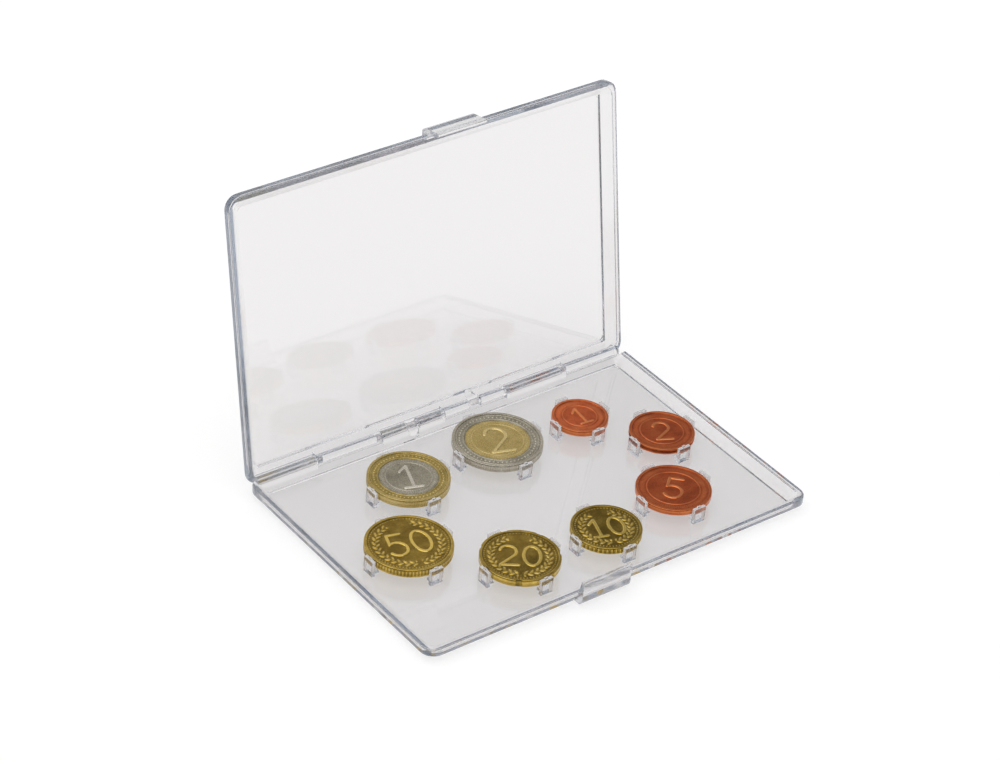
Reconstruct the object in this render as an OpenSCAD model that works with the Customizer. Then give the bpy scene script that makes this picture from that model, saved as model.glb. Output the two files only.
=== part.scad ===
// Clear coin display case: two hinged polystyrene shells, with eight coins held in moulded clips.
// X runs along the hinge, Z is up, the front is at -Y, and the origin is the centre of the underside.
// The case is drawn open, with the lid leaning back on its stop.

/* [Case] */
// Length of the case along the hinge
case_l = 129.6; // [127:0.1:160]
// Width of the case from the front wall to the back of the hinge
case_w = 86; // [84:0.1:110]
// Height of one shell, from its flat outer face to the rim
shell_h = 4.3; // [4.1:0.1:5.6]
// Radius of the outer corners seen from above
corner_r = 4; // [3.2:0.1:6]
// Width of the rim's top
rim_t = 1.6; // [1.2:0.05:1.9]
// Height of the upright lip under the rim
lip_h = 2.2; // [2:0.1:2.8]
// Thickness of the flat floor
floor_t = 1; // [0.8:0.1:1.2]
// Distance from the outer wall to the edge of the flat floor
floor_inset = 4.5; // [4:0.1:5.4]
// Radius of the floor's corners
floor_r = 1.2; // [0.8:0.1:2.5]
// Height of the small upright step where the floor meets the sloping wall
floor_step = 0.4; // [0.2:0.05:0.6]
// Distance from the outer wall to the edge of the flat outer face
foot_inset = 2.6; // [2:0.1:3]
// Radius that softens the rim's two edges
edge_r = 0.25; // [0.1:0.05:0.4]

/* [Hinge] */
// Radius of the hinge barrel
barrel_r = 1.5; // [1.3:0.05:1.8]
// Angle of the opened lid
open_angle = 100; // [95:1:110]
// Gap round a barrel in the other shell
swing_gap = 0.5; // [0.3:0.05:0.6]
// Gap between the two rims of the closed case
rim_gap = 0.1; // [0.06:0.02:0.3]
// Gap at the stop that holds the opened lid
stop_gap = 0.06; // [0.04:0.01:0.1]
// Gap between the ends of two neighbouring barrels
end_gap = 0.2; // [0.1:0.05:0.4]
// Radius of the moulded hinge pins
pin_r = 0.7; // [0.5:0.05:0.85]
// Running clearance of a pin in its bore
pin_fit = 0.05; // [0.03:0.01:0.09]
// Length of a hinge pin
pin_l = 1.5; // [1:0.1:2]
// Width of the notch in the middle barrel
notch_w = 4; // [2:0.1:5]
// Width of the round-bottomed pocket under that notch
pocket_w = 3; // [1.6:0.1:3.6]

/* [Tabs] */
// Width of one thumb tab
tab_w = 16.2; // [12:0.1:24]
// Thickness of a thumb tab
tab_t = 1.15; // [0.9:0.05:1.3]
// Height of a thumb tab above the rim
tab_h = 4.1; // [3:0.1:4.2]
// Gap between the two tabs of the closed case
tab_gap = 0.4; // [0.2:0.1:2]

/* [Clips] */
// Width of a clip
clip_w = 3.9; // [3:0.1:4.4]
// Thickness of a clip
clip_t = 1; // [0.7:0.05:1.2]
// Height of the coins above the floor
coin_rise = 2.7; // [2:0.1:2.9]
// Height of a clip above the underside of its coin
clip_h = 2; // [1.4:0.1:2.2]
// Gap between a clip and the edge of its coin
clip_gap = 0.06; // [0.04:0.01:0.12]
// Width of the shelf under the coin in each clip
shelf_w = 2.2; // [1.6:0.1:3]
// Reach of the shelf under the coin
shelf_l = 1; // [0.6:0.1:1.4]

/* [Coins] */
// Width of a coin's raised rim
coin_rim = 0.9; // [0.6:0.1:1.2]
// Height of a coin's rim above its field
coin_relief = 0.12; // [0.06:0.02:0.2]
// Chamfer on the edges of a coin
coin_edge = 0.12; // [0.05:0.01:0.2]
// Diameter of the 1 coin
d_1 = 16.25; // [15:0.05:18]
// Diameter of the 2 coin
d_2 = 18.75; // [17:0.05:20]
// Diameter of the 5 coin
d_5 = 21.25; // [20:0.05:23]
// Diameter of the 10 coin
d_10 = 19.75; // [18:0.05:22]
// Diameter of the 20 coin
d_20 = 22.25; // [21:0.05:24]
// Diameter of the 50 coin
d_50 = 24.25; // [22:0.05:26]
// Diameter of the smaller coin with two metals
d_one = 23.25; // [22:0.05:25]
// Diameter of the larger coin with two metals
d_two = 25.75; // [24:0.05:27]
// Thickness of the three copper coins
t_copper = 1.67; // [1.4:0.01:2]
// Thickness of the 10 coin
t_10 = 1.93; // [1.6:0.01:2.2]
// Thickness of the 20 coin
t_20 = 2.14; // [1.8:0.01:2.4]
// Thickness of the 50 coin
t_50 = 2.38; // [2:0.01:2.6]
// Thickness of the smaller coin with two metals
t_one = 2.33; // [2:0.01:2.6]
// Thickness of the larger coin with two metals
t_two = 2.2; // [2:0.01:2.6]
// Diameter of a core over the diameter of its coin
core_share = 0.72; // [0.6:0.01:0.8]

/* [Hidden] */
$fn = 64;
eps = 0.01;

// Colours of the materials
clear = [0.88, 0.91, 0.93, 0.35];
copper = [0.66, 0.38, 0.26];
gold = [0.62, 0.53, 0.28];
silver = [0.62, 0.6, 0.55];

// Centres of the eight coins
at_50 = [-43.9, -4.1];
at_20 = [-21.4, -23.8];
at_10 = [6.4, -25.7];
at_5 = [33.6, -21.2];
at_2 = [47.9, 1.7];
at_1 = [32.3, 19.5];
at_two = [4.8, 21.8];
at_one = [-26.7, 20.4];
HOLDERS = [[at_50, d_50], [at_20, d_20], [at_10, d_10], [at_5, d_5],
           [at_2, d_2], [at_1, d_1], [at_two, d_two], [at_one, d_one]];
coin_z = floor_t + coin_rise;
coin_gap = 0.02;

// Hinge: six barrels end to end, the first, third and fifth on the base
hinge_y = case_w / 2 - barrel_r;
hinge_z = shell_h + rim_gap / 2;
section_l = case_l / 6;
barrel_end = case_l / 2 - 2;
sweep_r = barrel_r + swing_gap;
stop_z = hinge_z - barrel_r * tan(open_angle / 2) - stop_gap;
bore_r = pin_r + pin_fit;
bore_l = pin_l + 0.2;
notch_r = 0.9;
notch_x = -section_l / 2;

// Inner corners: the sloping walls turn round upright axes this far in from the outer walls
bowl_inset = floor_inset + 0.1;

// Points of a circular arc
function arc(c, r, a0, a1, n = 4) =
    [for (i = [0:n]) let (a = a0 + (a1 - a0) * i / n) [c[0] + r * cos(a), c[1] + r * sin(a)]];

// Points of a cubic curve through its first and last control points
function curve(p, n = 10) =
    [for (i = [0:n]) let (t = i / n, s = 1 - t)
        s * s * s * p[0] + 3 * s * s * t * p[1] + 3 * s * t * t * p[2] + t * t * t * p[3]];

// Mirror image of a half outline, in reverse order
function mirrored(p) = [for (i = [len(p) - 1:-1:0]) [-p[i][0], p[i][1]]];

// Right half of a shell's outside, for a wall at distance a from the middle
function outer_half(a) =
    concat([[a - foot_inset, 0], [a, shell_h - lip_h]],
           arc([a - edge_r, shell_h - edge_r], edge_r, 0, 90));

// Right half of a shell's inside, from the floor's step to the softened mouth
function bowl_half(a) =
    concat([[a - floor_inset, floor_t + floor_step]],
           arc([a - rim_t + edge_r, shell_h - edge_r], -edge_r, 0, -90));

// Bars along X and Y with turned corners, for an outline that is given as a function of its half width
module framed(half_x, half_y, turned, inset) {
    cx = case_l / 2 - inset;
    cy = case_w / 2 - inset;
    rotate([90, 0, 90])
        linear_extrude(2 * cx, center = true) polygon(concat(half_y, mirrored(half_y)));
    rotate([90, 0, 0])
        linear_extrude(2 * cy, center = true) polygon(concat(half_x, mirrored(half_x)));
    for (x = [-cx, cx], y = [-cy, cy])
        translate([x, y, 0]) rotate_extrude() polygon(turned);
}

// Closes a half outline down to the axis that it turns round
function closed(p) = concat([[0, p[0][1]]], p, [[0, p[len(p) - 1][1]]]);

module shell_outside() {
    framed(outer_half(case_l / 2), outer_half(case_w / 2), closed(outer_half(corner_r)), corner_r);
}

module shell_inside() {
    intersection() {
        framed(bowl_half(case_l / 2), bowl_half(case_w / 2), closed(bowl_half(bowl_inset)), bowl_inset);
        cube([case_l, case_w, 3 * shell_h], center = true);
    }
    translate([0, 0, shell_h - eps])
        linear_extrude(1) rounded_plan(rim_t - edge_r, bowl_inset - rim_t + edge_r);
    translate([0, 0, floor_t]) linear_extrude(floor_step + eps) rounded_plan(floor_inset, floor_r);
}

// Rounded rectangle, set in from the outer walls
module rounded_plan(inset, r) {
    lx = case_l / 2 - inset - r;
    ly = case_w / 2 - inset - r;
    square([2 * lx, 2 * (ly + r)], center = true);
    square([2 * (lx + r), 2 * ly], center = true);
    for (x = [-lx, lx], y = [-ly, ly])
        translate([x, y]) circle(r);
}

// Cylinder along X, centred on the hinge's axis
module on_axis(x0, x1, r) {
    translate([x0, hinge_y, hinge_z]) rotate([0, 90, 0]) cylinder(r = r, h = x1 - x0);
}

// One hinge barrel with the wall that carries it
module barrel(x0, x1) {
    on_axis(x0, x1, barrel_r);
    translate([x0, 0, 0])
        rotate([90, 0, 90])
            linear_extrude(x1 - x0)
                polygon([[hinge_y - barrel_r, hinge_z], [hinge_y - barrel_r - 0.5, floor_t],
                         [case_w / 2 - foot_inset, floor_t], [case_w / 2, shell_h - lip_h],
                         [case_w / 2, hinge_z]]);
}

// Room for a barrel of the other shell, down to the edge that stops the lid
module swing_room(x0, x1) {
    on_axis(x0, x1, sweep_r);
    translate([x0, hinge_y, stop_z]) cube([x1 - x0, 3 * barrel_r, 2 * shell_h]);
}

// Notch round the upper part of the middle barrel
module barrel_notch() {
    intersection() {
        difference() {
            on_axis(notch_x - notch_w / 2, notch_x + notch_w / 2, 2 * barrel_r);
            on_axis(notch_x - notch_w, notch_x + notch_w, notch_r);
        }
        translate([notch_x - notch_w, hinge_y - 3 * barrel_r, shell_h - barrel_r / 2])
            cube([2 * notch_w, 6 * barrel_r, 3 * barrel_r]);
    }
}

// Pocket in the wall that carries the middle barrel, below its notch
module barrel_pocket() {
    depth = 0.1;
    pocket_r = pocket_w / 2;
    translate([notch_x, hinge_y - barrel_r + depth, floor_t + floor_step + pocket_r])
        rotate([90, 0, 0]) {
            cylinder(r = pocket_r, h = barrel_r);
            translate([-pocket_r, 0, 0]) cube([pocket_w, shell_h, barrel_r]);
        }
}

// The three barrels of one shell
module barrels() {
    barrel(-barrel_end, -2 * section_l - end_gap / 2);
    barrel(-section_l + end_gap / 2, -end_gap / 2);
    barrel(section_l + end_gap / 2, 2 * section_l - end_gap / 2);
}

// Pins at the inner ends of the first two barrels
module pins() {
    on_axis(-2 * section_l - end_gap, -2 * section_l + end_gap / 2 + pin_l, pin_r);
    on_axis(-section_l - end_gap / 2 - pin_l, -section_l + end_gap, pin_r);
}

// Bores in both ends of the third barrel
module bores() {
    on_axis(section_l, section_l + end_gap / 2 + bore_l, bore_r);
    on_axis(2 * section_l - end_gap / 2 - bore_l, 2 * section_l, bore_r);
}

// Thumb tab that grows out of the front wall and stands above the rim
module tab() {
    reach = 2;
    top_r = tab_t / 2;
    top = [reach - top_r, tab_h - top_r];
    root = shell_h - 0.6;
    outline = concat(
        [[-1.5, -root]],
        curve([[0.2, -root], [1.2, -root], [reach - 0.1, 1 - root], [reach - 0.1, 2.3 - root]]),
        arc(top, top_r, 0, 180, 8),
        [[0.3, 0.4], [0, -edge_r], [-1, -edge_r]]);
    translate([-tab_gap / 2, -case_w / 2, shell_h])
        rotate([90, 0, -90]) linear_extrude(tab_w) polygon(outline);
}

// One shell without its clips; the lid is the same shell turned over
module shell() {
    difference() {
        union() {
            difference() {
                shell_outside();
                shell_inside();
                swing_room(-2 * section_l - end_gap / 2, -section_l + end_gap / 2);
                swing_room(-end_gap / 2, section_l + end_gap / 2);
                swing_room(2 * section_l - end_gap / 2, case_l);
            }
            barrels();
        }
        bores();
        barrel_notch();
        barrel_pocket();
    }
    pins();
    tab();
}

// One clip at the +X side of a coin: an upright plate, a shelf under the coin and a gusset
module clip(d) {
    face = d / 2 + clip_gap;
    height = coin_rise + clip_h;
    translate([face, -clip_w / 2, floor_t - eps]) cube([clip_t, clip_w, height + eps]);
    translate([face, -0.5, floor_t]) cube([clip_t / 2, 1, height + 0.3]);
    rotate([90, 0, 0])
        linear_extrude(shelf_w, center = true)
            polygon([[face + eps, floor_t - eps], [face - shelf_l - 1, floor_t - eps],
                     [face - shelf_l, coin_z], [face + eps, coin_z]]);
}

module clips(at, d) {
    for (a = [0:90:270])
        translate([at[0], at[1], 0]) rotate([0, 0, a]) clip(d);
}

// Section of a coin's rim between two radii, raised above the field on both sides
function coin_points(r, t) =
    [[0, coin_relief], [r - coin_rim, coin_relief], [r - coin_rim + coin_relief, 0], [r - coin_edge, 0],
     [r, coin_edge], [r, t - coin_edge], [r - coin_edge, t], [r - coin_rim + coin_relief, t],
     [r - coin_rim, t - coin_relief], [0, t - coin_relief]];

module coin(at, d, t) {
    translate([at[0], at[1], coin_z + coin_gap]) rotate_extrude() polygon(coin_points(d / 2, t));
}

module ring(at, d, t) {
    difference() {
        coin(at, d, t);
        translate([at[0], at[1], 0]) cylinder(d = core_share * d, h = 3 * shell_h);
    }
}

module core(at, d, t) {
    translate([at[0], at[1], coin_z + coin_gap + coin_relief])
        cylinder(d = core_share * d, h = t - 2 * coin_relief);
}

module base_tray() {
    color(clear) {
        shell();
        for (h = HOLDERS)
            clips(h[0], h[1]);
    }
}

module lid() {
    color(clear)
        translate([0, hinge_y, hinge_z])
            rotate([-open_angle, 0, 0])
                rotate([0, 180, 0])
                    translate([0, -hinge_y, -hinge_z])
                        shell();
}

module coin_50() {
    color(gold) coin(at_50, d_50, t_50);
}

// Seven shallow notches mark the edge of this coin
module coin_20() {
    notches = 7;
    color(gold)
        difference() {
            coin(at_20, d_20, t_20);
            for (i = [0:notches - 1])
                translate([at_20[0], at_20[1], coin_z])
                    rotate([0, 0, 360 * (i + 0.5) / notches])
                        translate([d_20 / 2 + 1.1, 0, 0]) cylinder(r = 1.5, h = 2 * t_20, center = true);
        }
}

module coin_10() {
    color(gold) coin(at_10, d_10, t_10);
}

module coin_5() {
    color(copper) coin(at_5, d_5, t_copper);
}

// A groove runs round the edge of this coin
module coin_2() {
    groove = 0.15;
    color(copper)
        difference() {
            coin(at_2, d_2, t_copper);
            translate([at_2[0], at_2[1], coin_z + coin_gap + t_copper / 2])
                rotate_extrude()
                    translate([d_2 / 2, 0]) square([2 * groove, 3 * groove], center = true);
        }
}

module coin_1() {
    color(copper) coin(at_1, d_1, t_copper);
}

module bimetal_one_ring() {
    color(gold) ring(at_one, d_one, t_one);
}

module bimetal_one_core() {
    color(silver) core(at_one, d_one, t_one);
}

module bimetal_two_ring() {
    color(silver) ring(at_two, d_two, t_two);
}

module bimetal_two_core() {
    color(gold) core(at_two, d_two, t_two);
}

base_tray();
lid();
coin_50();
coin_20();
coin_10();
coin_5();
coin_2();
coin_1();
bimetal_one_ring();
bimetal_one_core();
bimetal_two_ring();
bimetal_two_core();
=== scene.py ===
# %% [markdown]
# # A clear coin case with eight coins
# The real object is two polystyrene shells that snap together at a hinge, and eight struck metal coins that sit
# between small clips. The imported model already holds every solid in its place. The whole case could be modelled
# again here, but then a joint might miss its bore, so this script only gives the pieces their looks: clear
# plastic with softened edges, and coins with a relief, a rim and an edge of their own.

import bmesh
import bpy
import numpy as np
from mathutils import Matrix, Vector


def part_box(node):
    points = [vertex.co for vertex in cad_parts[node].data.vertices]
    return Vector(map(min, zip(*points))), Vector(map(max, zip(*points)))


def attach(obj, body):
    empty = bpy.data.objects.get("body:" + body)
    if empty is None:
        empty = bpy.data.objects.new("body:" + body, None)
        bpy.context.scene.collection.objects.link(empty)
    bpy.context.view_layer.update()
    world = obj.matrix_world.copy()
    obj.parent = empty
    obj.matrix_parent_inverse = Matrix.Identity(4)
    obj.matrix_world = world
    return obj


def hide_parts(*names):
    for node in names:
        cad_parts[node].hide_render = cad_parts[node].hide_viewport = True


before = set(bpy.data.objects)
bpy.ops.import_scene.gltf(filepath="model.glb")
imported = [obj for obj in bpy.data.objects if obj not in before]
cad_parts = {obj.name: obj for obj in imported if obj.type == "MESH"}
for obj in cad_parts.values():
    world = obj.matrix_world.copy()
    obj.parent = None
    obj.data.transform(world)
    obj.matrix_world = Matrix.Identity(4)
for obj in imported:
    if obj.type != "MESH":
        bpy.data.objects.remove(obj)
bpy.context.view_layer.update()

MM = 0.001
scene = bpy.context.scene
scene.view_settings.view_transform = "Standard"
print("nodes:", ", ".join(sorted(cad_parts)))

# %% [markdown]
# ## Three small helpers
# Colours are written as the sRGB hex values that a paint chart would give, and one function turns them to the
# linear numbers that the shaders want. Nodes could be made and linked line by line, but a second function adds a
# node with its settings and its links in one call, which keeps a material short enough to read. A third starts
# an empty material.

# %% Helpers
def linear(code):
    """sRGB hex to linear RGB: values up to 0.04045 are divided by 12.92, the others follow a 2.4 power."""
    c = np.array([int(code[i:i + 2], 16) for i in (1, 3, 5)]) / 255
    return tuple(np.where(c <= 0.04045, c / 12.92, ((c + 0.055) / 1.055) ** 2.4)) + (1.0,)


def add(tree, kind, links=None, **settings):
    """Adds one node; settings are its properties, links fill its sockets with a number, a colour or a link."""
    made = tree.nodes.new(kind)
    for key, value in settings.items():
        setattr(made, key, value)
    for key, value in (links or {}).items():
        if isinstance(value, bpy.types.NodeSocket):
            tree.links.new(value, made.inputs[key])
        else:
            made.inputs[key].default_value = value
    return made


def new_material(name):
    """An empty material with its output node."""
    made = bpy.data.materials.new(name)
    made.use_nodes = True
    made.node_tree.nodes.clear()
    return made, made.node_tree, made.node_tree.nodes.new("ShaderNodeOutputMaterial")


print("sRGB #808080 is", round(float(linear("#808080")[0]), 3), "in linear light")

# %% [markdown]
# ## The camera
# The photograph looks down at the open case from its front left corner, through a long lens. A camera could be
# pushed about until it looks right. This one was worked out instead: its place, its turn and its focal length
# are those that lay the coins' outlines and the shells' edges over the photograph's. Its three directions are
# written down as unit vectors.

# %% Camera
CAMERA_AT = Vector((-466.6, -552.0, 539.9)) * MM
RIGHT = Vector((0.80151, -0.59379, 0.07071))
DOWN = Vector((-0.29295, -0.49299, -0.81923))
AHEAD = Vector((0.52131, 0.63590, -0.56909))
FOCAL_PIXELS = 3269.4
IMAGE_WIDTH = 1000
SENSOR_MM = 36.0
NEAREST, FARTHEST = 0.05, 20.0

camera = bpy.data.objects.new("camera", bpy.data.cameras.new("camera"))
camera.data.sensor_width = SENSOR_MM
camera.data.lens = camera.data.sensor_width * FOCAL_PIXELS / IMAGE_WIDTH
camera.data.clip_start = NEAREST
camera.data.clip_end = FARTHEST
turn = Matrix((RIGHT, -DOWN, -AHEAD)).transposed().to_quaternion()
camera.matrix_world = Matrix.Translation(CAMERA_AT) @ turn.to_matrix().to_4x4()
scene.collection.objects.link(camera)
scene.camera = camera
print("lens", round(camera.data.lens, 1), "mm")

# %% [markdown]
# ## The surroundings
# Clear plastic has no colour of its own: it shows what it bends and mirrors. A photographer draws its edges by
# standing a white ground under it and something darker over it. Real cards and walls could be built for that,
# but the world can do it without a shape: it is white where the camera looks straight at it and near the
# horizon, and grey overhead for rays that a surface has mirrored or bent. The mirrored grey is the darker one,
# and it also gives the coins their dark tones. Every other ray, which means the light on the matt table, gets one
# even level.

# %% World
WORLD_FILL = 0.7
SKY_MIRRORED = 0.36
SKY_BENT = 0.8
# Between these heights on a sphere of radius 1, the sky goes from white to grey.
SKY_LOW, SKY_HIGH = 0.02, 0.30

world = bpy.data.worlds.new("studio")
scene.world = world
world.use_nodes = True
tree = world.node_tree
tree.nodes.clear()
path = add(tree, "ShaderNodeLightPath")
where = add(tree, "ShaderNodeTexCoord")
height = add(tree, "ShaderNodeSeparateXYZ", {"Vector": where.outputs["Generated"]})
overhead = {}
for ray, grey in (("Is Glossy Ray", SKY_MIRRORED), ("Is Transmission Ray", SKY_BENT)):
    overhead[ray] = add(tree, "ShaderNodeMapRange", {
        "Value": height.outputs["Z"], "From Min": SKY_LOW, "From Max": SKY_HIGH,
        "To Min": 1.0, "To Max": grey}, interpolation_type="SMOOTHSTEP").outputs["Result"]
level = WORLD_FILL
for ray, value in (*overhead.items(), ("Is Camera Ray", 1.0)):
    level = add(tree, "ShaderNodeMix", {"Factor": path.outputs[ray], "A": level, "B": value},
                data_type="FLOAT").outputs["Result"]
sky = add(tree, "ShaderNodeBackground", {"Color": (1, 1, 1, 1), "Strength": level})
add(tree, "ShaderNodeOutputWorld", {"Surface": sky.outputs[0]})
print("grey from", round(float(np.degrees(np.arcsin(SKY_LOW)))), "to",
      round(float(np.degrees(np.arcsin(SKY_HIGH)))), "degrees above the horizon")

# %% [markdown]
# ## The lamp
# One weak lamp from above gives the coins a soft direction of light. An area lamp would stand at some height and
# fall off across the table, so a sun lamp is used. A small sun would show as a glaring spot in the flat plastic
# when the case is seen from above, so its disc is as wide as a large softbox that hangs close by.

# %% Lamp
SUN_STRENGTH = 1.1
# The disc's width is an angle in radians.
SUN_WIDTH = 1.2
SUN_DIRECTION = Vector((0.25, -0.1, -1.0))

sun = bpy.data.objects.new("softbox", bpy.data.lights.new("softbox", "SUN"))
sun.data.energy = SUN_STRENGTH
sun.data.angle = SUN_WIDTH
sun.rotation_mode = "QUATERNION"
sun.rotation_quaternion = SUN_DIRECTION.to_track_quat("-Z", "Y")
scene.collection.objects.link(sun)
print("the lamp's disc is", round(float(np.degrees(SUN_WIDTH))), "degrees wide")

# %% [markdown]
# ## The table
# A plain white table top. More light would make any grey table white, but it would also bleach the object. So the
# table is a matt white that keeps the shadows, mixed half and half with a little light of its own, and that
# light is only there for the rays that the camera, the plastic and the metal send to it.

# %% Table
TABLE_HALF = 3.0
TABLE_GAP = 0.0001
TABLE_GLOW = 1.25
GLOW_SHARE = 0.5

corners = np.array([[-1, -1], [1, -1], [1, 1], [-1, 1]]) * TABLE_HALF
table_mesh = bpy.data.meshes.new("table")
table_mesh.from_pydata(np.c_[corners, np.full(4, -TABLE_GAP)].tolist(), [], [(0, 1, 2, 3)])
table = bpy.data.objects.new("table", table_mesh)
scene.collection.objects.link(table)
matt, tree, output = new_material("matt_white_table")
path = add(tree, "ShaderNodeLightPath")
bent = add(tree, "ShaderNodeMath", {
    0: path.outputs["Is Glossy Ray"], 1: path.outputs["Is Transmission Ray"]}, operation="MAXIMUM")
direct = add(tree, "ShaderNodeMath", {0: bent.outputs[0], 1: path.outputs["Is Camera Ray"]}, operation="MAXIMUM")
share = add(tree, "ShaderNodeMath", {0: direct.outputs[0], 1: GLOW_SHARE}, operation="MULTIPLY")
paint = add(tree, "ShaderNodeBsdfDiffuse", {"Color": linear("#E6E6E6")})
glow = add(tree, "ShaderNodeEmission", {"Color": (1, 1, 1, 1), "Strength": TABLE_GLOW})
both = add(tree, "ShaderNodeMixShader", {0: share.outputs[0], 1: paint.outputs[0], 2: glow.outputs[0]})
tree.links.new(both.outputs[0], output.inputs["Surface"])
table_mesh.materials.append(matt)
print("table", 2 * TABLE_HALF, "m wide,", TABLE_GAP / MM, "mm below the case")

# %% [markdown]
# ## Clear polystyrene
# The shells are injection moulded from crystal polystyrene, a stiff, brittle plastic with a high refractive index
# of 1.59. That index is what draws its dark and bright edge lines. A transparent shader with a tint would be
# quicker, but it bends nothing, so it would show no edges at all. Here light enters the real solid, is bent,
# and loses a little of its strength on a long way through, which gives the edges their cool grey.
#
# The large panels come from a polished mould face and stay clear. Rims, clips and the tab are handled and have
# draft and parting lines, so they scatter a little. The panels are never perfectly flat either: slow ripples
# from the cooling plastic make the reflections swim.
#
# Light that is caught in a rim is thrown from wall to wall many times before it leaves. With few bounces it is
# lost on the way and the edges turn black, so many are allowed, which costs little time.

# %% Clear polystyrene
LIGHT_BOUNCES = 120
RIPPLE_MM = 22.0
RIPPLE_HIGH = 0.05 * MM
SCUFF_MM = 1.3
PANEL_HAZE = 0.02, 0.05
EDGE_HAZE = 0.065, 0.11

scene.cycles.max_bounces = LIGHT_BOUNCES
scene.cycles.transmission_bounces = LIGHT_BOUNCES
scene.cycles.glossy_bounces = LIGHT_BOUNCES

plastic, tree, output = new_material("clear_polystyrene_moulded")
where = add(tree, "ShaderNodeTexCoord")
ripple = add(tree, "ShaderNodeTexNoise", {
    "Vector": where.outputs["Object"], "Scale": 1 / (RIPPLE_MM * MM), "Detail": 1.0, "Roughness": 0.4})
waves = add(tree, "ShaderNodeBump", {
    "Height": ripple.outputs["Fac"], "Strength": 0.25, "Distance": RIPPLE_HIGH})
scuff = add(tree, "ShaderNodeTexNoise", {
    "Vector": where.outputs["Object"], "Scale": 1 / (SCUFF_MM * MM), "Detail": 3.0, "Roughness": 0.7})
polished, worn = (add(tree, "ShaderNodeMapRange", {
    "Value": scuff.outputs["Fac"], "From Min": 0.3, "From Max": 0.8, "To Min": least, "To Max": most})
    for least, most in (PANEL_HAZE, EDGE_HAZE))
off_panel = add(tree, "ShaderNodeAttribute", attribute_name="off_panel")
haze = add(tree, "ShaderNodeMix", {
    "Factor": off_panel.outputs["Fac"], "A": polished.outputs["Result"], "B": worn.outputs["Result"]},
    data_type="FLOAT")
clear = add(tree, "ShaderNodeBsdfPrincipled", {
    "Base Color": linear("#EEECEC"), "Transmission Weight": 1.0, "IOR": 1.59,
    "Roughness": haze.outputs["Result"], "Normal": waves.outputs["Normal"]})
tree.links.new(clear.outputs[0], output.inputs["Surface"])
depth = add(tree, "ShaderNodeVolumeAbsorption", {"Color": linear("#D2D9E2"), "Density": 18.0})
tree.links.new(depth.outputs[0], output.inputs["Volume"])
print(plastic.name, "with", len(tree.nodes), "nodes")

# %% [markdown]
# ## Which faces are panel
# Two materials could split the clear panel from the hazy rims, but then one solid would have two skins, and light
# inside it would meet both. One material with a number on every face does the same. The panel is found by
# measuring: its direction is the normal of the largest face, and its outside is the side where more area lies in
# the outermost plane.

# %% Panel faces
PANEL_DEEP = 1.3 * MM
SAME_PLANE = 0.05 * MM
PARALLEL = 0.999


def off_panel_faces(mesh):
    """True for the faces that aren't part of the large flat panel. A face is part of it if its normal is
    parallel to the panel's and its middle is at most PANEL_DEEP below the panel's outer plane."""
    count = len(mesh.polygons)
    area, normal, middle = np.empty(count), np.empty(3 * count), np.empty(3 * count)
    mesh.polygons.foreach_get("area", area)
    mesh.polygons.foreach_get("normal", normal)
    mesh.polygons.foreach_get("center", middle)
    normal, middle = normal.reshape(-1, 3), middle.reshape(-1, 3)
    facing = normal[area.argmax()]
    flat = np.abs(normal @ facing) > PARALLEL
    sides = []
    for sign in (1, -1):
        below = sign * (middle @ facing)
        below = below[flat].max() - below
        sides.append((area[flat & (below < SAME_PLANE)].sum(), below))
    below = max(sides, key=lambda side: side[0])[1]
    panel = flat & (below < PANEL_DEEP)
    print("panel area", round(area[panel].sum() / MM ** 2), "square mm")
    return ~panel


# %% [markdown]
# ## The shells
# A sharp edge on clear plastic is invisible, and a real mould never leaves one. A Bevel modifier could soften the
# edges, but the CAD's loose triangles have to be welded and joined to flat areas first, or every triangle would
# get an edge of its own. So all of it is done on a copy of the node's mesh with bmesh.

# %% Softened copies of the shells
EDGE_SOFT = 0.09 * MM
WELD = 0.002 * MM
# Radians: an edge that turns more than the first is softened, and one that turns less than the second is joined.
EDGE_ANGLE = 0.42
FLAT_ANGLE = 0.01


def softened(name, node, body):
    """A copy of a node's mesh with merged points, joined flats and bevelled edges, which stands for the node."""
    made = bmesh.new()
    made.from_mesh(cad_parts[node].data)
    bmesh.ops.remove_doubles(made, verts=made.verts, dist=WELD)
    bmesh.ops.dissolve_limit(made, angle_limit=FLAT_ANGLE, verts=made.verts, edges=made.edges)
    sharp = [e for e in made.edges if len(e.link_faces) == 2 and e.calc_face_angle(0.0) > EDGE_ANGLE]
    bmesh.ops.bevel(made, geom=sharp, offset=EDGE_SOFT, segments=2, profile=0.5, affect="EDGES",
                    clamp_overlap=True)
    bmesh.ops.triangulate(made, faces=made.faces)
    bmesh.ops.recalc_face_normals(made, faces=made.faces)
    mesh = bpy.data.meshes.new(name)
    made.to_mesh(mesh)
    made.free()
    away = off_panel_faces(mesh).astype(np.float32)
    mesh.attributes.new("off_panel", "FLOAT", "FACE").data.foreach_set("value", away)
    piece = bpy.data.objects.new(name, mesh)
    scene.collection.objects.link(piece)
    mesh.materials.append(plastic)
    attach(piece, body)
    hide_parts(node)
    print(name, len(mesh.polygons), "faces,", len(sharp), "softened edges")


softened("base_tray_moulded", "base_tray", "base")
softened("lid_moulded", "lid", "cover")

# %% [markdown]
# ## Struck metal
# A coin blank is rolled and annealed, then struck between polished dies. Raised parts are rubbed bright, the low
# field tones down as the alloy ages, and the grooves and hollows are darker, partly from dirt and partly as
# painted shade. The outer corner of the rim is lighter, partly wear and partly painted highlight, and the wall
# below it carries a painted reflection of the bright table. A pattern laid over the coin could fake this, but it
# would not follow the relief. So every point of a coin carries a number called relief: 0 in a groove, FIELD_LEVEL
# on the field and 1 on a bright edge. A colour ramp turns the number to a dark, a toned and a bright colour of
# the alloy.

# %% Struck metal
FIELD_LEVEL = 0.3
GROOVE_TONE = 0.4
CLOUD_MM = 4.0
HAIRLINE_MM = 0.35
HAIRLINE_HIGH = 0.005 * MM


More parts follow.
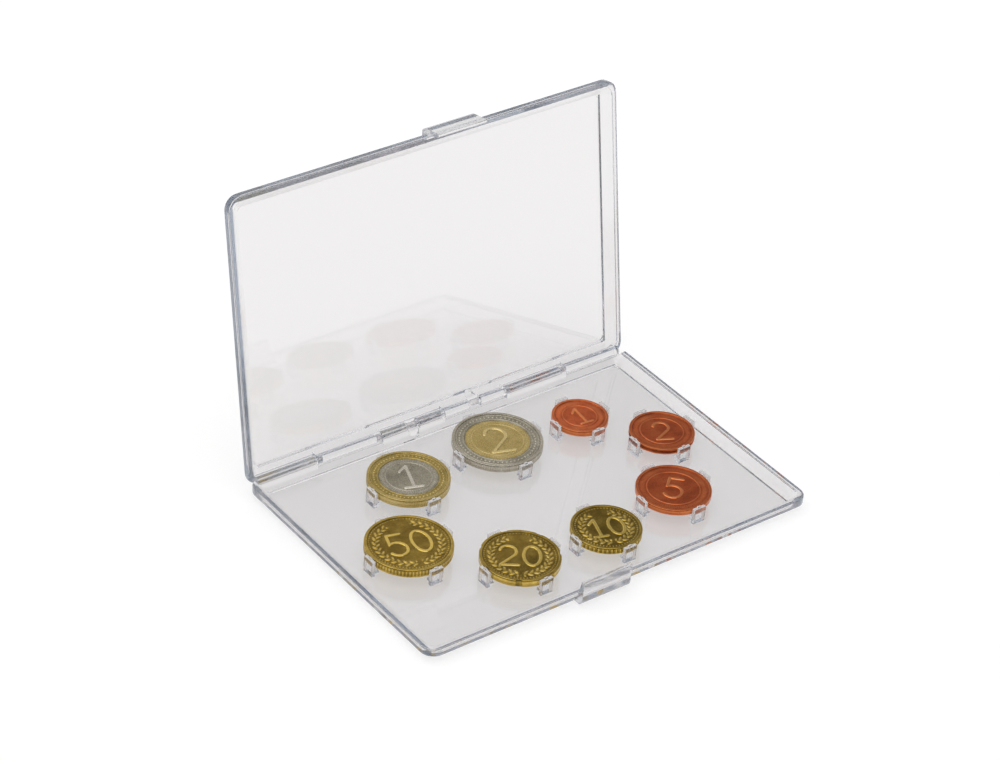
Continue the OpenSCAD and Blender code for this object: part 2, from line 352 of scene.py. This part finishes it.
def struck_metal(name, bright, toned, roughness):
    """A coin metal. The clouds of CLOUD_MM are the uneven tarnish that a hand leaves, and the grain of
    HAIRLINE_MM stands for scratches that are finer than the render can show. It blurs the mirror image, so that
    the metal looks satin."""
    made, tree, output = new_material(name)
    where = add(tree, "ShaderNodeTexCoord")
    raised = add(tree, "ShaderNodeAttribute", attribute_name="relief")
    cloud = add(tree, "ShaderNodeTexNoise", {
        "Vector": where.outputs["Object"], "Scale": 1 / (CLOUD_MM * MM), "Detail": 4.0, "Roughness": 0.6})
    tone = add(tree, "ShaderNodeMapRange", {
        "Value": cloud.outputs["Fac"], "From Min": 0.35, "From Max": 0.7, "To Min": -0.12, "To Max": 0.16})
    level = add(tree, "ShaderNodeMath", {0: raised.outputs["Fac"], 1: tone.outputs["Result"]},
                operation="ADD", use_clamp=True)
    colour = add(tree, "ShaderNodeValToRGB", {"Fac": level.outputs[0]})
    stops = colour.color_ramp.elements
    # The darkest stop, for grooves and hollows, is painted shade, partly dirt.
    stops[0].color = [GROOVE_TONE * part for part in linear(toned)[:3]] + [1.0]
    stops[1].color = linear(bright)
    stops.new(FIELD_LEVEL).color = linear(toned)
    hair = add(tree, "ShaderNodeTexNoise", {
        "Vector": where.outputs["Object"], "Scale": 1 / (HAIRLINE_MM * MM), "Detail": 3.0, "Roughness": 0.7})
    polish = add(tree, "ShaderNodeMapRange", {
        "Value": hair.outputs["Fac"], "From Min": 0.3, "From Max": 0.7,
        "To Min": roughness - 0.05, "To Max": roughness + 0.06})
    grain = add(tree, "ShaderNodeBump", {
        "Height": hair.outputs["Fac"], "Strength": 0.2, "Distance": HAIRLINE_HIGH})
    metal = add(tree, "ShaderNodeBsdfPrincipled", {
        "Base Color": colour.outputs["Color"], "Metallic": 1.0, "Roughness": polish.outputs["Result"],
        "Normal": grain.outputs["Normal"]})
    tree.links.new(metal.outputs[0], output.inputs["Surface"])
    return made


# %% [markdown]
# ## Four coin metals
# Each record slot gets the metal that such coins are struck from, with the colour of its bright and of its toned
# surface. Aluminium bronze is a warm, strong gold and takes the best polish. Copper plating on steel is soft, so
# its red surface is rubbed dull. Nickel brass is a paler, greener gold, and cupronickel a warm grey.

# %% Coin metals
METALS = {
    "gold_alloy": struck_metal("aluminium_bronze_struck", "#EDCD6C", "#8E7430", 0.15),
    "copper_plate": struck_metal("copper_plated_steel_struck", "#EE935A", "#CB6238", 0.30),
    "pale_gold_alloy": struck_metal("nickel_brass_struck", "#E2CB8C", "#A8924F", 0.24),
    "silver_alloy": struck_metal("cupronickel_struck", "#DCD5C6", "#A39D8A", 0.25),
}
print("metals:", ", ".join(made.name for made in METALS.values()))

# %% [markdown]
# ## Numerals
# The numeral stands a little above the coin's field. A text object could be turned to a mesh and joined to the
# face, but the joint would need cleaning up. A relief is simpler as a height over the face: a numeral is the
# distance to a few pen strokes, high inside the stroke and zero outside it. The strokes of each figure are
# points in a box that is one unit high.

# %% Numerals
DIGIT_PITCH = 0.78
DIGIT_WIDTH = 0.6
STROKE_SLOPE = 0.16
FAR_AWAY = 1e9


def smooth(t):
    """The S curve 3t^2 - 2t^3, held between 0 and 1."""
    t = np.clip(t, 0, 1)
    return t * t * (3 - 2 * t)


def bow(cx, cy, rx, ry, start, end, count=14):
    """Points on an ellipse round (cx, cy), from one angle to another in degrees."""
    a = np.radians(np.linspace(start, end, count))
    return np.c_[cx + rx * np.cos(a), cy + ry * np.sin(a)]


STROKES = {
    "0": [bow(0.3, 0.5, 0.28, 0.5, 0, 360, 25)],
    "1": [np.array([[0.1, 0.76], [0.34, 1.0], [0.34, 0.0]]), np.array([[0.08, 0.0], [0.6, 0.0]])],
    "2": [np.vstack([bow(0.3, 0.7, 0.27, 0.3, 165, -35), [[0.03, 0.0], [0.62, 0.0]]])],
    "5": [np.vstack([[[0.56, 1.0], [0.14, 1.0], [0.1, 0.56]], bow(0.29, 0.32, 0.29, 0.31, 125, -150)])],
}


def stroke_distance(x, y, points):
    """Distance from every (x, y) to a line of pen strokes: the nearest point of each stroke is found by
    projecting onto it and stopping at its ends, and the smallest of these distances counts."""
    best = np.full(x.shape, FAR_AWAY)
    for (ax, ay), (bx, by) in zip(points[:-1], points[1:]):
        dx, dy = bx - ax, by - ay
        t = np.clip(((x - ax) * dx + (y - ay) * dy) / max(dx * dx + dy * dy, 1e-12), 0, 1)
        best = np.minimum(best, np.hypot(x - ax - t * dx, y - ay - t * dy))
    return best


def numeral(x, y, text, size, pen):
    """Height from 0 to 1 of a numeral of the given size, centred on the origin: an S curve that falls across
    the border of a stroke as wide as the pen."""
    pitch = DIGIT_PITCH * size
    left = -(pitch * (len(text) - 1) + DIGIT_WIDTH * size) / 2
    best = np.full(x.shape, FAR_AWAY)
    for i, digit in enumerate(text):
        for line in STROKES[digit]:
            best = np.minimum(best, stroke_distance(x - left - i * pitch, y + size / 2, line * size))
    return smooth((pen / 2 - best) / STROKE_SLOPE + 0.5)


print("figures:", ", ".join(f"{digit} with {sum(map(len, lines))} points" for digit, lines in STROKES.items()))

# %% [markdown]
# ## Ornament
# Beads, leaves, rays and petals repeat round the coin. Each could be one small mesh that is copied in a circle.
# As a formula it is lighter: the angle is multiplied by the number of copies, and its fraction says where in a
# copy the point lies. All these motifs are plain, common ones.

# %% Ornament
STEM_HIGH, STEM_HALF = 0.6, 0.2
LEAF_LEAN = 0.6
LEAF_OUT, LEAF_LONG, LEAF_WIDE = 0.3, 0.62, 0.25
WREATH_TOP, WREATH_FOOT = 0.35, 0.06
RAY_FADE = 0.6


def fine_line(distance, half):
    """A fine raised line: an S curve that falls from 1 to 0 over half its width, on both sides."""
    return smooth(1 - np.abs(distance) / half)


def beads(radius, angle, ring, count, size):
    """A ring of round beads: the distance to the middle of the nearest bead, turned into a dome."""
    along = (np.mod(angle * count / (2 * np.pi), 1) - 0.5) * 2 * np.pi * ring / count
    return smooth(1 - np.hypot(along, radius - ring) / size)


def laurel(radius, angle, ring, size, count):
    """Two laurel branches that rise from the bottom: the angle is cut into equal cells, and each cell holds one
    leaf outside and one inside the stem. A leaf is an ellipse, turned to lean away from the stem."""
    side = np.where(np.sin(angle) < 0, -1.0, 1.0)
    cell = 2 * np.pi * ring / count
    best = STEM_HIGH * fine_line(radius - ring, STEM_HALF)
    for row in (1, -1):
        lean = row * LEAF_LEAN
        for shift in (-1, 0, 1):
            part = np.mod(angle * side * count / (2 * np.pi) + 0.25 * row, 1) - 0.5 + shift
            along, out = -part * cell, radius - ring - row * LEAF_OUT * size
            a = along * np.cos(lean) + out * np.sin(lean)
            b = out * np.cos(lean) - along * np.sin(lean)
            best = np.maximum(best, smooth(1.5 - 1.5 * np.hypot(a / (LEAF_LONG * size), b / (LEAF_WIDE * size))))
    from_top = np.arccos(np.cos(angle))
    open_top = smooth((from_top - WREATH_TOP) / 0.08)
    open_foot = smooth((np.pi - from_top - WREATH_FOOT) / 0.05)
    return best * open_top * open_foot


def rosette(radius, angle, reach, petals):
    """A flower of pointed petals: a point is raised where its radius is less than the petal's length there,
    which is 0.32 of the reach and 0.68 of it times a power of the cosine of half the angle times the petals.
    The vein is a dip along the middle of each petal."""
    length = reach * (0.32 + 0.68 * np.abs(np.cos(angle * petals / 2)) ** 1.5)
    vein = smooth(1 - np.abs(np.sin(angle * petals / 2)) * radius / 0.35) * (radius > 1.2)
    return smooth((length - radius) / 0.4 + 0.5) * (1 - 0.5 * vein)


def rays(radius, angle, inner, outer, count):
    """Fine rays between two radii, which fade at both ends: a cosine of the angle times the number of rays."""
    wave = 0.5 + 0.5 * np.cos(angle * count)
    return wave * smooth((radius - inner) / RAY_FADE) * smooth((outer - radius) / RAY_FADE)


print("leaf", LEAF_LONG, "by", LEAF_WIDE, "of its size, leaning", round(float(np.degrees(LEAF_LEAN))), "degrees")

# %% [markdown]
# ## The profile of a coin
# A coin is a body of revolution, but for its edge: a field, a slope up to the rim, the flat rim, a rounded corner
# and a wall. It could be turned with the Screw modifier. A profile as rows of numbers is as short, and each of its
# points can also say how much relief it takes and how bright its metal is.

# %% Half profile
RIM_W, RIM_SLOPE, FIELD_DROP, EDGE_R = 0.75, 0.25, 0.22, 0.14
# Brightness from 0 to 1 of each point, in order from the field outwards and then down the wall.
# The low values at the foot of the slope are painted shade.
SLOPE_SHINE = [0.05, 0.05, 0.1, 0.35, 0.75]
CROWN_SHINE = [0.55] * 4
# The high values at the top of the corner are partly wear and partly painted highlight.
CORNER_SHINE = [0.95, 0.9, 0.5, 0.15, 0.05]
# The wall is darker just below the corner and lighter further down, which is a painted reflection of the table.
WALL_SHINE = [0.3, 0.65, 0.85, 0.85, 0.85, 0.85]
# The back's corner and lower wall are lighter, a painted highlight.
BACK_LEVEL, BACK_CORNER, BACK_WALL = 0.95, 0.8, 0.6
GROOVE_TO, GROOVE_SLOPE = 1.6, 0.25


def half_profile(outer, half, inner, stations, groove):
    """Radius, height, relief weight and two rows of brightness from the field over the rim to the middle of the
    edge, in mm. The slope is an S curve, the corner a quarter circle and the groove an S curve into the wall.
    The foot of the slope inside the rim is darkened with painted shade, the rim is worn brighter, and its outer
    corner is brighter still, partly wear and partly a painted highlight. The wall is darker just below that corner
    and lighter further down, which is a painted reflection of the bright table. In the groove the wall is dark,
    which is painted shade. The second row is for the back. It is kept bright, so that it throws the alloy's colour
    on the floor below the coin, and its lower corner and wall are lighter, a painted highlight."""
    field = np.linspace(inner, outer - RIM_W - RIM_SLOPE, stations)
    s = np.linspace(0, 1, len(SLOPE_SHINE) + 1)[1:]
    crown = np.linspace(outer - RIM_W, outer - EDGE_R, len(CROWN_SHINE) + 1)[1:]
    a = np.linspace(0, np.pi / 2, len(CORNER_SHINE) + 1)[1:]
    wall = np.linspace(half - EDGE_R, 0, len(WALL_SHINE) + 1)[1:]
    dip = groove * smooth(GROOVE_TO - wall / GROOVE_SLOPE)
    radius = np.concatenate([
        field, field[-1] + RIM_SLOPE * s, crown, outer - EDGE_R + EDGE_R * np.sin(a), outer - dip])
    high = np.concatenate([
        np.full(stations, half - FIELD_DROP), half - FIELD_DROP * (1 - smooth(s)),
        np.full(len(crown), half), half - EDGE_R * (1 - np.cos(a)), wall])
    weight = np.concatenate([np.ones(stations), np.zeros(len(radius) - stations)])
    # The wall gets no brightness inside the edge's groove, which is painted shade.
    shine = np.concatenate([
        np.full(stations, FIELD_LEVEL), SLOPE_SHINE, CROWN_SHINE, CORNER_SHINE, np.array(WALL_SHINE) * (dip == 0)])
    shine_back = np.where(weight > 0, BACK_LEVEL, shine)
    shine_back[-len(a) - len(wall):-len(wall)] = BACK_CORNER
    shine_back[-len(wall):] = BACK_WALL * (dip == 0)
    return radius, high, weight, shine, shine_back


print("a rim is", RIM_W, "mm wide and", FIELD_DROP, "mm above the field")

# %% [markdown]
# ## Striking a coin
# The die presses the relief into the face while a collar shapes the edge. A displacement map would only do this
# at render time, so here the relief is added to the points themselves: the profile is carried once round the
# coin's axis, and every point is moved up by the motif and outwards or inwards by the edge.

# %% Coin surface
# In mm, but for the share of brightness that painted shade, partly dirt, takes from a groove in the edge, and the
# two numbers of copies.
RELIEF = 0.15
EDGE_BAND, EDGE_FADE = 0.3, 0.25
DIRT_AND_SHADE_DEPTH, DIRT_AND_SHADE_SHARE = 0.12, 0.45
PETALS, BACK_BEADS = 8, 64
SEAM = 0.001 * MM


def turned(name, centre, radius, high, weight, shine, motif, edge, count, closed):
    """A profile carried round an axis. Point (i, j) is at radius i and angle j, its height is the profile's plus
    the motif's on the face and a rosette's on the back, and the edge function changes the outermost radii. A
    profile that starts and ends on the axis gets one point at each pole, and a closed one joins its last station
    to its first."""
    angle = np.arange(count) * 2 * np.pi / count
    rr, aa = np.meshgrid(radius, angle, indexing="ij")
    near_edge = smooth((rr - radius.max() + EDGE_BAND) / EDGE_FADE)
    cut = edge(aa, high.max() - np.abs(high)[:, None])
    rr = rr + cut * near_edge
    x, y = rr * np.cos(aa), rr * np.sin(aa)
    field = np.max(radius[weight != 0])
    back = np.maximum(0.8 * rosette(rr, aa, reach=0.62 * field, petals=PETALS),
                      beads(rr, aa, ring=field - 0.8, count=BACK_BEADS, size=0.4))
    face = np.where(weight[:, None] > 0, motif(rr, aa, x, y), back) * np.abs(weight)[:, None]
    zz = high[:, None] + RELIEF * face * np.sign(weight)[:, None]
    points = np.stack([x + centre[0], y + centre[1], zz + centre[2]], -1)
    # Grooves and notches in the edge lose brightness here: painted shade, partly dirt.
    relief = (1 - FIELD_LEVEL) * face + shine[:, None] * (1 - near_edge * DIRT_AND_SHADE_SHARE * smooth(-cut / DIRT_AND_SHADE_DEPTH))
    grid = np.arange(len(radius) * count).reshape(len(radius), count)
    low, up = (grid, np.roll(grid, -1, 0)) if closed else (grid[:-1], grid[1:])
    quads = np.stack([low, up, np.roll(up, -1, 1), np.roll(low, -1, 1)], -1).reshape(-1, 4)
    mesh = bpy.data.meshes.new(name)
    mesh.from_pydata((points.reshape(-1, 3) * MM).tolist(), [], quads.tolist())
    mesh.attributes.new("relief", "FLOAT", "POINT").data.foreach_set("value", relief.astype(np.float32).ravel())
    made = bmesh.new()
    made.from_mesh(mesh)
    bmesh.ops.remove_doubles(made, verts=made.verts, dist=SEAM)
    bmesh.ops.recalc_face_normals(made, faces=made.faces)
    made.to_mesh(mesh)
    made.free()
    mesh.polygons.foreach_set("use_smooth", np.ones(len(mesh.polygons), bool))
    return mesh


def there_and_back(front, back, shared):
    """A row of the profile down to the middle of the edge, followed by the back's row the other way round,
    without the points at the middle of the edge that both of them have."""
    return np.concatenate([front, back[::-1][shared:]])


print("the relief is", RELIEF, "mm high")

# %% [markdown]
# ## Edges of coins
# Coins are told apart by touch, so their edges differ: smooth, with coarse or fine milling, with a groove, or
# with seven notches. Boolean cuts would leave slivers in a mesh as fine as this one, so an edge is a function
# that says how far the radius moves at an angle and at a depth below the rim.

# %% Edges
NOTCHES = 7
CUTTER_BESIDE, CUTTER_R = 1.1, 1.5


def plain_edge(angle, down):
    """A smooth edge takes nothing off the radius."""
    return np.zeros_like(angle)


def scalloped(count, depth):
    """Milling: rounded grooves, an S curve of the cosine of the angle times their number. They start a little
    below the rim, with an S curve of the depth."""
    return lambda angle, down: -depth * smooth(0.5 + 0.9 * np.cos(angle * count)) * smooth(down / 0.25 - 0.5)


def sectioned(count, parts, depth):
    """Fine milling that comes and goes round the edge, with the sign of a slow sine."""
    milled = scalloped(count, depth)
    return lambda angle, down: milled(angle, down) * (np.sin(angle * parts) > 0)


def flower(outer):
    """Seven notches: where a round cutter beside the edge is nearer than the edge, the radius follows it."""
    def edge(angle, down):
        a = (np.mod(angle * NOTCHES / (2 * np.pi), 1) - 0.5) * 2 * np.pi / NOTCHES
        far = outer + CUTTER_BESIDE
        room = CUTTER_R ** 2 - (far * np.sin(a)) ** 2
        cut = far * np.cos(a) - np.sqrt(np.maximum(room, 0))
        return np.where(room > 0, np.minimum(cut - outer, 0), 0)
    return edge


print(NOTCHES, "notches,", round(CUTTER_R - CUTTER_BESIDE, 2), "mm deep")

# %% [markdown]
# ## Faces of coins
# Each face has a plain numeral that stands upright for the camera, turned a little as a coin drops into its
# clips. The gold-coloured coins have a wreath, the red ones a line and short rays, and the ones of two metals a
# line with rays on the core and beads on the ring. Each motif could be a mesh of its own, but motifs that meet
# would then have to be joined. As heights over the face they are compared, and the highest one counts.

# %% Faces
# Degrees from the x axis to the line that runs from left to right in the camera's view.
UPRIGHT = -36.6


def rotated(x, y, degrees):
    """Coordinates of the same points in a frame that is turned by an angle."""
    a = np.radians(degrees)
    return x * np.cos(a) + y * np.sin(a), y * np.cos(a) - x * np.sin(a)


def wreath_face(text, outer, turn_by, size):
    """A numeral between two laurel branches, with beads along the rim. The highest motif counts."""
    field = outer - RIM_W - RIM_SLOPE

    def motif(radius, angle, x, y):
        u, v = rotated(x, y, UPRIGHT + turn_by)
        local = angle - np.radians(UPRIGHT + turn_by + 90)
        figure = numeral(u, v, text, size, pen=0.85)
        wreath = laurel(radius, local, ring=field - 2.2, size=1.9, count=int(2 * np.pi * field / 2.3))
        dots = beads(radius, angle, ring=field - 0.4, count=int(2 * np.pi * field / 0.9), size=0.34)
        return np.maximum(np.maximum(figure, 0.8 * wreath), 0.7 * dots)
    return motif


def banded_face(text, outer, turn_by, size):
    """A numeral on a smooth field, a fine line round it, and short rays between the line and the rim."""
    field = outer - RIM_W - RIM_SLOPE

    def motif(radius, angle, x, y):
        u, v = rotated(x, y, UPRIGHT + turn_by)
        figure = numeral(u, v, text, size, pen=0.75)
        fan = rays(radius, angle, inner=field - 1.9, outer=field - 0.1, count=90)
        line = fine_line(radius - field + 2.2, half=0.25)
        return np.maximum(np.maximum(figure, 0.45 * fan), 0.6 * line)
    return motif


def core_face(text, outer, turn_by, size):
    """A large numeral on a smooth core, with a fine line and short rays round it."""
    def motif(radius, angle, x, y):
        u, v = rotated(x, y, UPRIGHT + turn_by)
        figure = numeral(u, v, text, size, pen=0.9)
        fan = rays(radius, angle, inner=outer - 1.7, outer=outer - 0.3, count=72)
        line = fine_line(radius - outer + 1.9, half=0.25)
        return np.maximum(np.maximum(figure, 0.4 * fan), 0.5 * line)
    return motif


def ring_face(inner, outer):
    """Two fine lines and a row of beads between them round the outer ring."""
    middle = (inner + outer - RIM_W) / 2

    def motif(radius, angle, x, y):
        dots = beads(radius, angle, ring=middle, count=56, size=0.42)
        line = fine_line(np.abs(radius - middle) - 0.95, half=0.2)
        return np.maximum(0.8 * dots, 0.5 * line)
    return motif


print("the numerals stand", UPRIGHT, "degrees from the x axis")

# %% [markdown]
# ## A coin from its node
# Width, thickness and place come from the CAD node, so the coin sits in its clips without any fitting. The new
# surface stands for the node, which stays behind as the shape for collisions, hidden.

# %% Coin pieces
FACE_STEP = 0.115
STEPS_ROUND = 360


def measures(node):
    """Centre, radius and half thickness of a round node in mm, from its box."""
    low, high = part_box(node)
    centre = [(low[i] + high[i]) / 2 / MM for i in range(3)]
    return centre, (high[0] - low[0]) / 2 / MM, (high[2] - low[2]) / 2 / MM


def finish_coin(mesh, node, body, slot):
    """Links a coin, gives it its metal and lets it ride on its body."""
    piece = bpy.data.objects.new(mesh.name, mesh)
    scene.collection.objects.link(piece)
    mesh.materials.append(METALS[slot])
    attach(piece, body)
    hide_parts(node)
    print(piece.name, len(mesh.vertices), "points")


def coin_piece(node, body, slot, motif, edge=plain_edge, count=STEPS_ROUND, inner=0.0, groove=0.0):
    """One coin or ring: a face, a rim, an edge, and a back with a rosette. Stations are FACE_STEP apart."""
    centre, outer, half = measures(node)
    stations = int((outer - inner) / FACE_STEP)
    radius, level, weight, shine, shine_back = half_profile(outer, half, inner, stations, groove)
    rows = [there_and_back(front, back, shared=1) for front, back in (
        (radius, radius), (level, -level), (weight, -weight), (shine, shine_back))]
    mesh = turned(node + "_struck", centre, *rows, motif, edge, count, closed=inner > 0)
    finish_coin(mesh, node, body, slot)


print("points of a face are", FACE_STEP, "mm apart")

# %% [markdown]
# ## The gold-coloured coins
# Two have coarse milling and the middle one has seven notches. The number of steps round a coin is a multiple of
# the number of grooves or notches, so that each of them gets the same shape.

# %% Gold-coloured coins
GOLD = [("coin_50", "coin_fifty", "50", 22, 9.0, scalloped(80, 0.2), 400),
        ("coin_20", "coin_twenty", "20", 2, 8.2, None, 364),
        ("coin_10", "coin_ten", "10", 18, 7.4, scalloped(50, 0.3), 400)]
for node, body, text, turn_by, size, edge, count in GOLD:
    outer = measures(node)[1]
    coin_piece(node, body, "gold_alloy", wreath_face(text, outer, turn_by, size), edge or flower(outer), count)

# %% [markdown]
# ## The copper-coloured coins
# Their edges are smooth, and the middle one has a groove round it, which is a dip in its profile.

# %% Copper-coloured coins
COPPER = [("coin_5", "coin_five", "5", -8, 9.0, 0.0),
          ("coin_2", "coin_two_small", "2", 10, 8.0, 0.3),
          ("coin_1", "coin_one_small", "1", 30, 7.0, 0.0)]
for node, body, text, turn_by, size, groove in COPPER:
    face = banded_face(text, measures(node)[1], turn_by, size)
    coin_piece(node, body, "copper_plate", face, groove=groove)

# %% [markdown]
# ## The coins of two metals
# A core is pressed into a ring while both are struck. One surface with two colours would look the same from
# afar, but ring and core are two solids, so each gets a surface of its own. A core has no rim: its profile is a
# flat face with a small rounded corner at the joint. The ring is a closed profile round the hole.

# %% Coins of two metals
CORE_FLAT = 0.15
CORNER_IN = [0.08, 0.02, 0.0, 0.0]
CORNER_DOWN = [-0.01, -0.04, -0.09, -0.4]
JOINT_SHINE = 0.1
RING_STEPS = 720


def core_piece(node, body, slot, motif, radius_out, brightness):
    """A core: a flat face on both sides, whose corner goes in by CORNER_IN and down by CORNER_DOWN."""
    centre, _, half = measures(node)
    stations = int(radius_out / FACE_STEP)
    radius = np.concatenate([
        np.linspace(0, radius_out - CORE_FLAT, stations), radius_out - np.array(CORNER_IN)])
    level = half - RELIEF + np.concatenate([np.zeros(stations), CORNER_DOWN])
    weight = np.concatenate([np.ones(stations), np.zeros(len(CORNER_IN))])
    shine = np.where(weight == 0, JOINT_SHINE, brightness)
    rows = [there_and_back(front, back, shared=0) for front, back in (
        (radius, radius), (level, -level), (weight, -weight),
        (shine, np.where(weight > 0, BACK_LEVEL, shine)))]
    mesh = turned(node + "_struck", centre, *rows, motif, plain_edge, STEPS_ROUND, closed=False)
    finish_coin(mesh, node, body, slot)


TWO_METALS = [
    ("bimetal_one", "1", 17, 9.6, "pale_gold_alloy", "silver_alloy", sectioned(120, 3, 0.07), 0.3),
    ("bimetal_two", "2", 18, 11.0, "silver_alloy", "pale_gold_alloy", scalloped(120, 0.06), 0.58)]
for body, text, turn_by, size, ring_slot, core_slot, edge, brightness in TWO_METALS:
    core_r = measures(body + "_core")[1]
    core_piece(body + "_core", body, core_slot, core_face(text, core_r, turn_by, size), core_r, brightness)
    face = ring_face(core_r, measures(body + "_ring")[1])
    coin_piece(body + "_ring", body, ring_slot, face, edge, RING_STEPS, inner=core_r)
